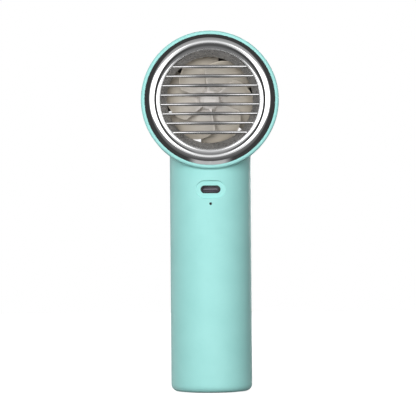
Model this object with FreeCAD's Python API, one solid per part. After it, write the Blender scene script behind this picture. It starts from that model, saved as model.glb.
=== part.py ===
import FreeCAD, Part
import math
import os

# Handheld electric fan: a round drum with a grille on each face, on an upright round handle.
# Frame: +Z up, origin at the centre of the base, the rear (inlet and charging port) faces -Y,
# the front (outlet and button) faces +Y. All sizes are in millimetres.

Vector = FreeCAD.Vector
along_x = Vector(1, 0, 0)
along_y = Vector(0, 1, 0)
along_z = Vector(0, 0, 1)

# ---------------------------------------------------------------- overall sizes
head_radius = 32.3  # outside of the drum
head_height = 137.7  # fan axis above the base
handle_radius = 19.15  # outside of the handle
head_overhang = 2.85  # each drum face stands this far beyond the handle
wall = 2.0
face_wall = 2.4  # drum faces
base_wall = 2.4
foot_round = 3.3  # rounding round the bottom of the handle
rim_round = 1.2  # rounding of the drum's outer edges
neck_round = 0.9  # hollow rounding where handle meets drum
seam_width = 0.3
seam_depth = 0.25
lip_height = 1.6  # tongue of the front shell inside the rear one
fit_gap = 0.1  # clearance of parts that seat in one another

# ---------------------------------------------------------------- fasteners
shell_screw_radius = 1.0
shell_screw_head = 1.6
shell_screw_grip = 6.0  # thread inside the front boss
shell_screw_seat = 9.0  # head seat behind the split plane
boss_wall = 0.65
boss_angles = (45, 135, 225, 315)
board_screw_radius = 0.8
board_screw_head = 1.4
board_post_radius = 1.9

# ---------------------------------------------------------------- air path, from the drum wall inwards
boss_blend = 0.35  # boss sunk into the drum wall
boss_radius = shell_screw_head + 0.15 + boss_wall
shell_bore = head_radius - wall
boss_circle = shell_bore - boss_radius + boss_blend
duct_wall = 1.2
funnel_wall = 1.25
funnel_width = 3.1  # the funnel narrows by this much
tip_overlap = 1.8  # the funnel lip hides this much of the blade tips
tip_gap = 0.7
socket_radius = boss_circle - boss_radius - 0.2
socket_bore = socket_radius - duct_wall
mouth_radius = socket_bore - fit_gap - funnel_wall
throat_radius = mouth_radius - funnel_width
impeller_radius = throat_radius + tip_overlap
duct_bore = impeller_radius + tip_gap
duct_radius = duct_bore + duct_wall
face_hole = socket_radius + 0.85

# ---------------------------------------------------------------- trim on each drum face
rim_width = 1.7  # coloured rim left outside the bezel
bezel_sink = 0.8
bezel_rise = 2.4
bezel_cover = 0.5  # bezel stops this far outside the grille mouth
spigot_wall = 1.0
grille_sink = 0.1
bar_count = 8
bar_pitch = 4.4
bar_height = 1.65  # at the middle
bar_end_height = 0.95
bar_depth = 2.0
bar_bow = 1.1  # bars arch outwards by this much
bar_round = 0.38
bar_seat = 0.6  # share of the ring's width that a bar's end takes
bar_gap = 0.03  # clearance round a bar's end in its socket
flange_thickness = 1.0
funnel_depth = 5.1
bezel_outer = head_radius - rim_width
bezel_inner = mouth_radius + bezel_cover
spigot_radius = face_hole - 2 * fit_gap
grille_ring_radius = spigot_radius - spigot_wall - fit_gap
grille_end = grille_sink + bar_depth + 2 * fit_gap
duct_end = grille_end + flange_thickness
throat_end = grille_end + funnel_depth

# ---------------------------------------------------------------- impeller and motor
blade_count = 6
blade_phase = 40.5  # degrees, leading edge of the first blade
blade_depth = 10.0
blade_thickness = 0.95
tip_sweep = 49.6  # degrees the rounded corner cuts back at the tip
sweep_start = 0.65  # share of the tip radius where that corner starts
blade_span = 88.0  # degrees, leading to trailing edge at the hub
hub_nose_radius = 4.4
hub_radius = 8.0
hub_wall = 1.1
inlet_gap = 0.8
stage_gap = 0.8
motor_radius = 8.5
motor_length = 10.5
can_wall = 0.6
shaft_radius = 0.75
shaft_fit = 0.03  # running clearance in each bush
bush_radius = 2.1
pod_wall = 1.2
terminal_room = 1.8
cap_rise = 2.6
vane_count = 7
vane_thickness = 1.1
vane_swirl = 26.0  # degrees a vane leans back against the swirl
outlet_room = 1.4  # least space between the pod cap and the front bars

# Depths measured inwards from the rear face
impeller_start = throat_end + inlet_gap
pod_start = impeller_start + blade_depth + stage_gap
bars_end = grille_sink + bar_depth
stage_depth = pod_start + pod_wall + motor_length + terminal_room + cap_rise + outlet_room + bars_end
head_depth = max(2 * (handle_radius + head_overhang), stage_depth)
half_depth = head_depth / 2
head_bottom = head_height - head_radius

# ---------------------------------------------------------------- charging port and main board
port_drop = 9.7  # port below the drum
port_width = 9.4
port_height = 3.7
recess_width = 13.4
recess_height = 8.2
recess_depth = 1.5
recess_round = 0.35
plug_pad_wall = 1.6
socket_width = 8.94
socket_height = 3.26
socket_skin = 0.3
socket_length = 6.5
socket_sink = 0.3
tongue_width = 6.7
tongue_thickness = 0.7
contact_pitch = 0.5
light_drop = 6.7  # indicator below the port
light_radius = 0.65
board_thickness = 1.0
board_half_width = 10.5
board_above_port = 8.3
board_below_port = 19.7
port_z = head_bottom - port_drop
light_z = port_z - light_drop
recess_floor = handle_radius - recess_depth
board_face = recess_floor - socket_sink - socket_length

# ---------------------------------------------------------------- button and switch
button_drop = 17.0  # button below the drum
button_radius = 6.4
button_gap = 0.2
button_travel = 0.4
button_seat = 2.2
ring_width = 1.35
ring_height = 1.2
flange_room = 1.5
seat_wall = 1.6
button_flange = 0.8
switch_side = 6.0
switch_height = 2.0
plunger_rise = 0.7
plunger_radius = 1.7
stem_length = 0.8
switch_board_width = 16.4
switch_board_height = 20.0
button_z = head_bottom - button_drop
seat_face = handle_radius - button_seat
pocket_roof = seat_face - seat_wall
flange_back = pocket_roof - fit_gap - button_flange
plunger_top = flange_back - stem_length
switch_top = plunger_top - plunger_rise
switch_board_face = switch_top - switch_height

# ---------------------------------------------------------------- battery and base
cell_radius = 9.2
cell_length = 65.0
cell_pad = 2.0
tab_thickness = 0.2
tab_width = 6.0
cradle_gap = 0.25
cradle_wall = 1.2
cradle_length = 40.0
foot_step = 0.3  # the pad stands this far below the shells
pad_radius = 13.5
pad_thickness = 1.2
lead_radius = 0.55
shell_floor = foot_step + base_wall
cell_bottom = shell_floor + cell_pad + tab_thickness
cell_top = cell_bottom + cell_length


# ================================================================ small helpers
def cylinder_y(radius, y_from, y_to, x=0.0, z=0.0):
    return Part.makeCylinder(radius, y_to - y_from, Vector(x, y_from, z), along_y)


def cylinder_z(radius, z_from, z_to, x=0.0, y=0.0):
    return Part.makeCylinder(radius, z_to - z_from, Vector(x, y, z_from), along_z)


def tube_y(outer, bore, y_from, y_to, x=0.0, z=0.0):
    return cylinder_y(outer, y_from, y_to, x, z).cut(cylinder_y(bore, y_from - 1, y_to + 1, x, z))


def box(x_from, x_to, y_from, y_to, z_from, z_to):
    corner = Vector(x_from, y_from, z_from)
    return Part.makeBox(x_to - x_from, y_to - y_from, z_to - z_from, corner)


def stadium_y(width, height, y_from, y_to, x=0.0, z=0.0):
    """Bar with a rounded-end section, lying along Y."""
    radius = height / 2
    reach = width / 2 - radius
    middle = box(x - reach, x + reach, y_from, y_to, z - radius, z + radius)
    ends = [cylinder_y(radius, y_from, y_to, x + side * reach, z) for side in (-1, 1)]
    return middle.fuse(ends).removeSplitter()


def turned_y(steps):
    """Solid turned about the Y axis. A step is the next (radius, y), or a pair of them for an arc."""
    def point(pair):
        return Vector(pair[0], pair[1], 0)

    edges = []
    here = point(steps[0])
    for step in list(steps[1:]) + [steps[0]]:
        if isinstance(step[0], tuple):
            edges.append(Part.Arc(here, point(step[0]), point(step[1])).toShape())
            here = point(step[1])
        else:
            edges.append(Part.makeLine(here, point(step)))
            here = point(step)
    return Part.Face(Part.Wire(edges)).revolve(Vector(0, 0, 0), along_y, 360)


def moved(shape, x=0.0, y=0.0, z=0.0):
    placed = shape.copy()
    placed.translate(Vector(x, y, z))
    return placed


def on_fan_axis(shape):
    return moved(shape, z=head_height)


def spun(shape, degrees):
    """Turned about the fan axis while that axis still lies at z = 0; counter-clockwise seen from -Y."""
    placed = shape.copy()
    placed.rotate(Vector(0, 0, 0), along_y, -degrees)
    return placed


def to_front(shape):
    return shape.mirror(Vector(0, 0, 0), along_y)


def edges_where(shape, test):
    """Edges whose two ends and middle all pass the test."""
    found = []
    for edge in shape.Edges:
        first, last = edge.ParameterRange
        points = [edge.valueAt(first + (last - first) * share) for share in (0.0, 0.5, 1.0)]
        if all(test(p) for p in points):
            found.append(edge)
    return found


def on_circle(angle, radius):
    turn = math.radians(angle)
    return radius * math.cos(turn), radius * math.sin(turn)


def smooth_surface(grid):
    """Cubic surface shaped by a grid of poles; it never swings outside them."""
    def knots(count):
        return list(range(count - 2)), [4] + [1] * (count - 4) + [4]

    u_knots, u_repeats = knots(len(grid))
    v_knots, v_repeats = knots(len(grid[0]))
    surface = Part.BSplineSurface()
    surface.buildFromPolesMultsKnots(grid, u_repeats, v_repeats, u_knots, v_knots, False, False, 3, 3)
    return surface


def skin_solid(near_grid, far_grid):
    """Closed solid between two smooth surfaces shaped by matching grids of poles."""
    near = smooth_surface(near_grid)
    far = smooth_surface(far_grid)
    u_low, u_high, v_low, v_high = near.bounds()
    rims = [(near.uIso(u), far.uIso(u)) for u in (u_low, u_high)]
    rims += [(near.vIso(v), far.vIso(v)) for v in (v_low, v_high)]
    faces = [near.toShape(), far.toShape()]
    faces += [Part.makeRuledSurface(one.toShape(), other.toShape()) for one, other in rims]
    shell = Part.Shell(faces)
    shell.sewShape()
    solid = Part.Solid(shell)
    if solid.Volume < 0:
        solid.reverse()
    return solid


def screw(radius, length, top_radius, top_height):
    """Pan-head screw along +Z: head from 0 up, shank from 0 down, cross recess in the head."""
    head = cylinder_z(top_radius, 0, top_height)
    head = head.makeFillet(top_height * 0.4, edges_where(head, lambda p: abs(p.z - top_height) < 1e-6))
    shank = cylinder_z(radius, -length + radius, 0)
    tip = Part.makeCone(radius * 0.35, radius, radius, Vector(0, 0, -length))
    slot_half = top_radius * 0.6
    slot_width = top_radius * 0.14
    body = head.fuse([shank, tip])
    for across, along in ((slot_half, slot_width), (slot_width, slot_half)):
        body = body.cut(box(-across, across, -along, along, top_height * 0.45, top_height + 1))
    return body.removeSplitter()


def aimed(shape, x, y, z, direction):
    """A +Z shape turned to point along direction, at a place."""
    placed = shape.copy()
    placed.Placement = FreeCAD.Placement(Vector(x, y, z), FreeCAD.Rotation(along_z, direction))
    return placed


def lead(points, radius, bend):
    """Round wire through the points, with an arc of the bend radius at each inner point."""
    places = [Vector(*p) for p in points]
    edges = []
    here = places[0]
    for before, corner, after in zip(places, places[1:], places[2:]):
        into = (corner - before).normalize()
        out = (after - corner).normalize()
        turn = into.getAngle(out)
        reach = bend * math.tan(turn / 2)
        start = corner - into * reach
        end = corner + out * reach
        inward = (out - into).normalize()
        middle = corner + inward * (bend / math.cos(turn / 2) - bend)
        edges.append(Part.makeLine(here, start))
        edges.append(Part.Arc(start, middle, end).toShape())
        here = end
    edges.append(Part.makeLine(here, places[-1]))
    path = Part.Wire(edges)
    circle = Part.makeCircle(radius, places[0], places[1] - places[0])
    return path.makePipeShell([Part.Wire(circle)], True, False)


# ================================================================ casing
def body_solid(inset):
    """Handle and drum as one solid, with the whole outside moved in by inset."""
    handle = cylinder_z(handle_radius - inset, foot_step + inset, head_height)
    reach = half_depth - inset
    return handle.fuse(cylinder_y(head_radius - inset, -reach, reach, z=head_height))


def outer_body():
    handle = cylinder_z(handle_radius, foot_step, head_height)
    handle = handle.makeFillet(foot_round, edges_where(handle, lambda p: abs(p.z - foot_step) < 1e-6))
    drum = cylinder_y(head_radius, -half_depth, half_depth, z=head_height)
    drum = drum.makeFillet(rim_round, edges_where(drum, lambda p: abs(abs(p.y) - half_depth) < 1e-6))
    body = handle.fuse(drum).removeSplitter()

    def at_neck(p):
        off_handle = abs(math.hypot(p.x, p.y) - handle_radius)
        off_drum = abs(math.hypot(p.x, p.z - head_height) - head_radius)
        return off_handle < 1e-3 and off_drum < 1e-3

    return body.makeFillet(neck_round, edges_where(body, at_neck))


def cavity():
    bore = cylinder_z(handle_radius - wall, shell_floor, head_height)
    bore = bore.makeFillet(foot_round - wall, edges_where(bore, lambda p: abs(p.z - shell_floor) < 1e-6))
    reach = half_depth - face_wall
    return bore.fuse(cylinder_y(shell_bore, -reach, reach, z=head_height))


def half_space(side):
    """Everything behind (side -1) or in front of (side 1) the split plane."""
    room = 2 * (head_radius + head_height)
    y_from = 0 if side > 0 else -room
    return box(-room, room, y_from, y_from + room, -room, room)


def seam_groove():
    room = 2 * head_radius
    slab = box(-room, room, -seam_width / 2, seam_width / 2, -1, head_height + room)
    return slab.cut(body_solid(seam_depth))


def lip_band(gap):
    """Inner half of the wall, just behind the split plane."""
    band = body_solid(wall / 2 + 0.05 - gap).cut(cavity())
    room = 2 * head_radius
    return band.common(box(-room, room, -lip_height - gap, 0, shell_floor, head_height + room))


def face_opening(side):
    """Hole and bezel seat in one drum face, deep enough for the trim behind it."""
    face = side * half_depth
    inside = side * (half_depth - duct_end - fit_gap)
    seat = side * (half_depth - bezel_sink)
    hole = cylinder_y(face_hole, min(face + side, inside), max(face + side, inside), z=head_height)
    recess = cylinder_y(bezel_outer + fit_gap, min(face + side, seat), max(face + side, seat), z=head_height)
    return hole.fuse(recess)


def boss_places():
    for angle in boss_angles:
        x, z = on_circle(angle, boss_circle)
        yield x, z + head_height


def ear_half():
    return duct_wall / 2 + 0.4


def half_shell(side, outer, hollow):
    shell = outer.common(half_space(side)).cut([hollow, seam_groove()])
    near = side * ear_half()
    far = side * (half_depth - face_wall + 0.3)
    bosses = [cylinder_y(boss_radius, min(near, far), max(near, far), x, z) for x, z in boss_places()]
    foot = cylinder_z(pad_radius + fit_gap, 0, pad_thickness)
    return shell.fuse(bosses).cut([foot, face_opening(side)])


def board_posts():
    """Places of the four posts under the main board."""
    for x in (-1, 1):
        for z in (port_z + board_above_port - 3.0, port_z - board_below_port + 3.0):
            yield x * (board_half_width - 2.1), z


def make_rear_shell(outer, hollow):
    shell = half_shell(-1, outer, hollow)
    pad_half_width = port_width / 2 + 2.6
    pad_half_height = port_height / 2 + 2.2
    plug_pad = box(-pad_half_width, pad_half_width, -handle_radius, -(recess_floor - plug_pad_wall),
                   port_z - pad_half_height, port_z + pad_half_height)
    light_tube = cylinder_y(light_radius + 1.0, -handle_radius, -(recess_floor - plug_pad_wall) + 0.8, z=light_z)
    posts = [cylinder_y(board_post_radius, -handle_radius, -board_face, x, z) for x, z in board_posts()]
    shell = shell.fuse([part.common(outer) for part in [plug_pad, light_tube] + posts])
    recess = stadium_y(recess_width, recess_height, -handle_radius - 1, -recess_floor, z=port_z)
    shell = shell.cut(recess)

    def at_recess_rim(p):
        on_skin = abs(math.hypot(p.x, p.y) - handle_radius) < 1e-3
        in_height = abs(p.z - port_z) <= recess_height / 2 + 1e-3
        return on_skin and in_height and abs(p.x) <= recess_width / 2 + 1e-3

    shell = shell.makeFillet(recess_round, edges_where(shell, at_recess_rim))
    slot = stadium_y(port_width, port_height, -handle_radius, 0, z=port_z)
    pinhole = cylinder_y(light_radius, -handle_radius - 1, 0, z=light_z)
    pilots = [cylinder_y(board_screw_radius, -board_face - 4, 0, x, z) for x, z in board_posts()]
    heads = [cylinder_y(shell_screw_head + 0.15, -half_depth - 1, -shell_screw_seat, x, z) for x, z in boss_places()]
    shanks = [cylinder_y(shell_screw_radius + 0.15, -shell_screw_seat - 1, 0, x, z) for x, z in boss_places()]
    return shell.cut([slot, pinhole, lip_band(fit_gap)] + pilots + heads + shanks)


def switch_posts():
    for x in (-1, 1):
        for z in (-1, 1):
            yield x * (switch_board_width / 2 - 2.0), button_z + z * (switch_board_height / 2 - 1.7)


def make_front_shell(outer, hollow):
    shell = half_shell(1, outer, hollow).fuse(lip_band(0))
    ring_outer = button_radius + button_gap + ring_width + fit_gap
    boss_back = pocket_roof - flange_room
    boss = cylinder_y(button_radius + 3.4, boss_back, handle_radius, z=button_z)
    posts = [cylinder_y(board_post_radius - 0.2, switch_board_face, handle_radius, x, z) for x, z in switch_posts()]
    shell = shell.fuse([part.common(outer) for part in [boss] + posts])
    seat = cylinder_y(ring_outer, seat_face, handle_radius + 1, z=button_z)
    bore = cylinder_y(button_radius + button_gap, boss_back - 1, handle_radius + 1, z=button_z)
    pocket = cylinder_y(button_radius + 1.4, boss_back - 1, pocket_roof, z=button_z)
    pilots = [cylinder_y(board_screw_radius, 0, switch_board_face + 3.4, x, z) for x, z in switch_posts()]
    threads = [cylinder_y(shell_screw_radius, 0, ear_half() + shell_screw_grip + 1, x, z) for x, z in boss_places()]
    return shell.cut([seat, bore, pocket] + pilots + threads)


def make_shell_screws():
    length = shell_screw_seat + ear_half() + shell_screw_grip
    one = screw(shell_screw_radius, length, shell_screw_head, 1.3)
    return [aimed(one, x, -shell_screw_seat, z, Vector(0, -1, 0)) for x, z in boss_places()]


def make_base_pad():
    pad = cylinder_z(pad_radius, 0, pad_thickness)
    pad = pad.makeFillet(foot_step, edges_where(pad, lambda p: abs(p.z) < 1e-6))
    return pad


# ================================================================ rear trim; the front repeats it, mirrored
def make_bezel():
    """Chromed ring: steep outer flank, domed crest, crisp ridge, hollow slope and rounded inner lip."""
    width = bezel_outer - bezel_inner

    def at(across, up):
        return bezel_outer - across * width, -half_depth - up * bezel_rise

    seat = -half_depth + bezel_sink
    end = -half_depth + grille_end - fit_gap
    ring = turned_y([
        (bezel_outer, seat),
        (bezel_outer, -half_depth),
        at(0.007, 0.050),
        at(0.236, 0.796),
        (at(0.242, 0.813), at(0.250, 0.826)),
        (at(0.384, 0.956), at(0.526, 1.0)),
        (at(0.580, 0.995), at(0.634, 0.982)),
        (at(0.666, 0.960), at(0.695, 0.919)),
        at(0.724, 0.863),
        (at(0.765, 0.798), at(0.809, 0.752)),
        (at(0.908, 0.701), at(0.960, 0.687)),
        (at(0.988, 0.650), at(1.0, 0.570)),
        (bezel_inner, -half_depth),
        (spigot_radius - spigot_wall, -half_depth),
        (spigot_radius - spigot_wall, end),
        (spigot_radius, end),
        (spigot_radius, seat),
    ])
    return on_fan_axis(ring)


def bar_reach(offset):
    """Half length of the bar at this offset; its square ends lie inside the ring."""
    inside_ring = mouth_radius + bar_seat * (grille_ring_radius - mouth_radius)
    return math.sqrt(inside_ring ** 2 - (abs(offset) + bar_end_height / 2) ** 2)


def bar_half_height(x, reach):
    """Half height of the bar at this distance from its middle."""
    return bar_end_height / 2 + (bar_height - bar_end_height) / 2 * (1 - (x / reach) ** 2)


def bar_sag(x):
    """How far the bar's rear face has fallen back at this distance from its middle."""
    return bar_bow * (x / mouth_radius) ** 2


def slab_between_arcs(reach, low_end, low_middle, high_end, high_middle, thickness):
    """Plate in the XY plane, thick along Z, whose two long sides are arcs."""
    low = Part.Arc(Vector(-reach, low_end, 0), Vector(0, low_middle, 0), Vector(reach, low_end, 0))
    high = Part.Arc(Vector(reach, high_end, 0), Vector(0, high_middle, 0), Vector(-reach, high_end, 0))
    ends = [Part.makeLine(Vector(side * reach, low_end, 0), Vector(side * reach, high_end, 0)) for side in (1, -1)]
    outline = Part.Wire([low.toShape(), ends[0], high.toShape(), ends[1]])
    return Part.Face(outline).extrude(Vector(0, 0, thickness))


def grille_bar(offset):
    """One bar, arched in plan and thickest at its middle, with rounded long edges and square ends."""
    reach = bar_reach(offset)
    outer = -half_depth + grille_sink
    inner = outer + bar_depth
    end = outer + bar_sag(reach)
    plan = slab_between_arcs(reach, end, outer, inner, inner - bar_sag(reach) / 2, 2 * bar_height)
    front = slab_between_arcs(reach, -bar_end_height / 2, -bar_height / 2, bar_end_height / 2, bar_height / 2,
                              2 * half_depth)
    front.rotate(Vector(0, 0, 0), along_x, 90)
    bar = moved(plan, z=-bar_height).common(front)
    thinnest = min(bar_end_height, inner - end)
    bar = bar.makeFillet(min(bar_round, 0.42 * thinnest), [e for e in bar.Edges if e.Length > reach])
    return moved(bar, z=offset)


def bar_offsets():
    return [(i - (bar_count - 1) / 2) * bar_pitch for i in range(bar_count)]


def make_bars():
    return [on_fan_axis(grille_bar(offset)) for offset in bar_offsets()]


def make_grille_ring():
    """Ring with a socket for each end of each bar."""
    rear = -half_depth + grille_sink
    ring = tube_y(grille_ring_radius, mouth_radius, rear, -half_depth + grille_end)
    sockets = []
    for offset in bar_offsets():
        reach = bar_reach(offset)
        start = math.sqrt(mouth_radius ** 2 - (abs(offset) + bar_height / 2) ** 2)
        half = bar_half_height(start, reach) + bar_gap
        sockets.append(box(-reach - bar_gap, reach + bar_gap, rear + bar_sag(start) - bar_gap,
                           rear + bar_depth + bar_gap, offset - half, offset + half))
    return on_fan_axis(ring.cut(sockets))


def make_funnel():
    """Bell mouth between the grille and the duct, with a rounded lip at its throat."""
    face = -half_depth
    lip = 0.5
    ring = turned_y([
        (mouth_radius, face + grille_end),
        (throat_radius, face + throat_end - lip),
        ((throat_radius + lip * 0.3, face + throat_end - lip * 0.2), (throat_radius + lip, face + throat_end)),
        (throat_radius + funnel_wall, face + throat_end),
        (mouth_radius + funnel_wall, face + duct_end),
        (face_hole - 3 * fit_gap, face + duct_end),
        (face_hole - 3 * fit_gap, face + grille_end),
    ])
    return on_fan_axis(ring)


# ================================================================ duct, vanes and motor pod
def pod_radius():
    return motor_radius + 0.15 + pod_wall


def pod_rear():
    return -half_depth + pod_start


def motor_rear():
    return pod_rear() + pod_wall


def motor_front():
    return motor_rear() + motor_length


def pod_front():
    return motor_front() + terminal_room


def vane(angle):
    """Guide vane that turns the swirling air straight, from the pod's wall to the duct's."""
    start = pod_rear() + 0.4
    end = motor_front() - 0.4
    near_grid = []
    far_grid = []
    for radial in range(5):
        radius = pod_radius() - 0.5 + (duct_bore + 1.0 - pod_radius()) * radial / 4
        near_row = []
        far_row = []
        for step in range(7):
            share = step / 6
            y = start + (end - start) * share
            turn = math.radians(angle + vane_swirl * (1 - share) ** 2)
            slim = 0.55 + 0.45 * math.sin(math.pi * min(1.0, 0.15 + share * 0.8))
            half = math.asin(vane_thickness * slim / 2 / radius)
            near_row.append(Vector(radius * math.cos(turn - half), y, radius * math.sin(turn - half)))
            far_row.append(Vector(radius * math.cos(turn + half), y, radius * math.sin(turn + half)))
        near_grid.append(near_row)
        far_grid.append(far_row)
    return skin_solid(near_grid, far_grid).common(tube_y(duct_bore, pod_radius(), start - 1, end + 1))


def make_vanes():
    return [on_fan_axis(vane(270 + 360 / vane_count * i)) for i in range(vane_count)]


def lead_notch(y_from, y_to):
    """Room for both motor leads through the bottom of the pod wall."""
    return box(-2.4, 2.4, y_from, y_to, -pod_radius() - 1, -pod_radius() + pod_wall + 1.4)


def make_duct():
    length = half_depth - duct_end
    socket_end = half_depth - throat_end
    tube = turned_y([
        (socket_bore, -length), (socket_bore, -socket_end), (duct_bore, -socket_end),
        (duct_bore, socket_end), (socket_bore, socket_end), (socket_bore, length),
        (socket_radius, length), (socket_radius, socket_end - duct_wall), (duct_radius, socket_end - 2 * duct_wall),
        (duct_radius, 2 * duct_wall - socket_end), (socket_radius, duct_wall - socket_end), (socket_radius, -length),
    ])
    trim = cylinder_y(shell_bore - 0.2, -half_depth, half_depth)
    ears = []
    holes = []
    for angle in boss_angles:
        x, z = on_circle(angle, boss_circle)
        inner_x, inner_z = on_circle(angle, duct_radius - 0.4)
        ear = cylinder_y(boss_radius, -ear_half(), ear_half(), x, z)
        neck = cylinder_y(boss_radius, -ear_half(), ear_half(), inner_x + (x - inner_x) * 0.35,
                          inner_z + (z - inner_z) * 0.35)
        keep_out = cylinder_y(duct_bore + duct_wall / 2, -half_depth, half_depth)
        ears += [part.cut(keep_out).common(trim) for part in (ear, neck)]
        holes.append(cylinder_y(shell_screw_radius + 0.15, -ear_half() - 1, ear_half() + 1, x, z))
    lead_y = motor_front() + terminal_room / 2
    slot = box(-2.4, 2.4, lead_y - 0.8, lead_y + 0.8, -socket_radius - 1, -duct_bore + 1)
    return on_fan_axis(tube.fuse(ears).removeSplitter().cut([slot] + holes))


def make_pod():
    """Cup that holds the motor, with a hole for its nose, two screw holes and a notch for the leads."""
    nose_hole = bush_radius + 0.9
    pod = turned_y([
        (nose_hole, pod_rear()), (pod_radius(), pod_rear()), (pod_radius(), pod_front()),
        (pod_radius() - pod_wall, pod_front()), (pod_radius() - pod_wall, motor_rear()),
        (nose_hole, motor_rear()),
    ])
    places = (-motor_screw_place(), motor_screw_place())
    holes = [cylinder_y(0.9, pod_rear() - 1, motor_rear() + 1, x) for x in places]
    lead_y = motor_front() + terminal_room / 2
    return on_fan_axis(pod.cut([lead_notch(lead_y - 0.8, pod_front() + 1)] + holes))


def make_pod_cap():
    """Domed cap that closes the motor pod, with a skirt inside its rim."""
    front = pod_front()
    edge = pod_radius()
    skirt = edge - pod_wall - fit_gap
    cap = turned_y([
        (0, front + cap_rise), ((edge * 0.62, front + cap_rise * 0.72), (edge, front + 0.4)), (edge, front),
        (skirt, front), (skirt, front - 0.7), (skirt - 1.0, front - 0.7), (skirt - 1.0, front + 0.1),
        (0, front + 0.5),
    ])
    return on_fan_axis(cap.cut(lead_notch(front - 1, front + fit_gap)))


# ================================================================ impeller
def hub_outline(depth_share):
    """Hub radius at a share of the blade depth."""
    return hub_nose_radius + (hub_radius - hub_nose_radius) * depth_share ** 1.2


def blade_point(span_share, chord_share):
    """(radius, angle in degrees back from the leading edge, y) on the blade's middle surface."""
    depth_share = 0.04 + 0.9 * chord_share
    root = hub_outline(depth_share) - hub_wall * 0.5
    radius = root + (impeller_radius - root) * span_share
    x = radius / impeller_radius
    corner = max(0.0, (x - sweep_start) / (1 - sweep_start))
    leading = tip_sweep * corner ** 1.4
    trailing = blade_span - 6 * x * x
    angle = leading + (trailing - leading) * chord_share
    flat = 0.06 + (0.86 - 0.12 * x) * chord_share + 0.05 * math.sin(math.pi * chord_share)
    depth = flat + 0.05 * corner
    return radius, angle, -half_depth + impeller_start + blade_depth * depth


def blade():
    near_grid = []
    far_grid = []
    for i in range(9):
        near_row = []
        far_row = []
        for j in range(9):
            radius, back, y = blade_point(i / 8, j / 8)
            turn = math.radians(blade_phase - back)
            edge = math.sin(math.pi * (0.12 + 0.76 * j / 8))
            half = blade_thickness * (0.35 + 0.45 * edge) * (1.15 - 0.35 * i / 8)
            near_row.append(Vector(radius * math.cos(turn), y - half, radius * math.sin(turn)))
            far_row.append(Vector(radius * math.cos(turn), y + half, radius * math.sin(turn)))
        near_grid.append(near_row)
        far_grid.append(far_row)
    return skin_solid(near_grid, far_grid)


def make_impeller():
    start = -half_depth + impeller_start
    end = start + blade_depth
    boss = bush_radius + 0.3
    hub = turned_y([
        (0, start), (hub_nose_radius * 0.55, start),
        ((hub_nose_radius * 0.88, start + 0.28), (hub_nose_radius, start + 0.9)),
        ((hub_outline(0.55), start + blade_depth * 0.55), (hub_radius, end)),
        (hub_radius - hub_wall, end),
        ((hub_outline(0.6) - hub_wall, start + blade_depth * 0.62),
         (hub_nose_radius - hub_wall * 0.6, start + 3.0)),
        (boss, start + 2.6), (boss, end - 1.2),
        (shaft_radius, end - 1.2), (shaft_radius, start + 1.6), (0, start + 1.6),
    ])
    one = blade()
    blades = [spun(one, 360 / blade_count * i) for i in range(blade_count)]
    return on_fan_axis(hub.fuse(blades))


# ================================================================ motor
def motor_screw_place():
    return (bush_radius + motor_radius) / 2 + 0.3


def make_motor_can():
    """Steel cup, open at the front, with a raised bush seat at the rear."""
    rear = motor_rear()
    nose = rear - pod_wall
    seat = bush_radius + 0.6
    can = turned_y([
        (bush_radius, nose), (seat, nose), (seat, rear), (motor_radius - 0.4, rear),
        ((motor_radius - 0.12, rear + 0.12), (motor_radius, rear + 0.4)), (motor_radius, motor_front() - 1.6),
        (motor_radius - can_wall, motor_front() - 1.6), (motor_radius - can_wall, rear + can_wall),
        (bush_radius, rear + can_wall),
    ])
    holes = [cylinder_y(0.8, rear - 1, rear + can_wall + 1, x) for x in (-motor_screw_place(), motor_screw_place())]
    return on_fan_axis(can.cut(holes))


def make_motor_endcap():
    front = motor_front()
    cap = turned_y([
        (bush_radius, front - 1.6), (motor_radius - can_wall, front - 1.6), (motor_radius, front - 1.6),
        (motor_radius, front - 0.4), ((motor_radius - 0.12, front - 0.12), (motor_radius - 0.4, front)),
        (bush_radius, front),
    ])
    slots = [box(x - 0.9, x + 0.9, front - 2, front + 1, -motor_radius * 0.7 - 0.25, -motor_radius * 0.7 + 0.25)
             for x in (-1.2 - 0.9, 1.2 + 0.9)]
    return on_fan_axis(cap.cut(slots))


def make_bush(y_from, y_to):
    return on_fan_axis(tube_y(bush_radius, shaft_radius + shaft_fit, y_from, y_to))


def make_motor_shaft():
    start = -half_depth + impeller_start + 1.6
    return on_fan_axis(cylinder_y(shaft_radius, start, motor_front() - 0.3))


def arc_segment(outer, bore, y_from, y_to, middle, half_angle):
    """Part of a tube, centred on an angle about the fan axis."""
    wedge_reach = outer * 2
    left = on_circle(middle - half_angle, wedge_reach)
    right = on_circle(middle + half_angle, wedge_reach)
    wedge = Part.Face(Part.makePolygon([Vector(0, y_from - 1, 0), Vector(left[0], y_from - 1, left[1]),
                                        Vector(right[0], y_from - 1, right[1]), Vector(0, y_from - 1, 0)]))
    return tube_y(outer, bore, y_from, y_to).common(wedge.extrude(Vector(0, y_to - y_from + 2, 0)))


def rotor_span():
    """Front and rear of the armature core inside the can."""
    return motor_rear() + 2.6, motor_front() - 4.4


def make_motor_magnets():
    rear, front = rotor_span()
    outer = motor_radius - can_wall
    pair = [arc_segment(outer, outer - 1.3, rear - 0.6, front + 0.6, angle, 58) for angle in (0, 180)]
    return [on_fan_axis(one) for one in pair]


def make_motor_armature():
    """Laminated core with three poles."""
    rear, front = rotor_span()
    tip = motor_radius - can_wall - 1.3 - 0.3
    core = cylinder_y(tip * 0.36, rear, front)
    for angle in (90, 210, 330):
        arm = spun(box(0, tip - 0.5, rear, front, -0.7, 0.7), angle)
        shoe = arc_segment(tip, tip - 0.9, rear, front, angle, 48)
        core = core.fuse([arm, shoe])
    return on_fan_axis(core.cut(cylinder_y(shaft_radius, rear - 1, front + 1)).removeSplitter())


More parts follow.
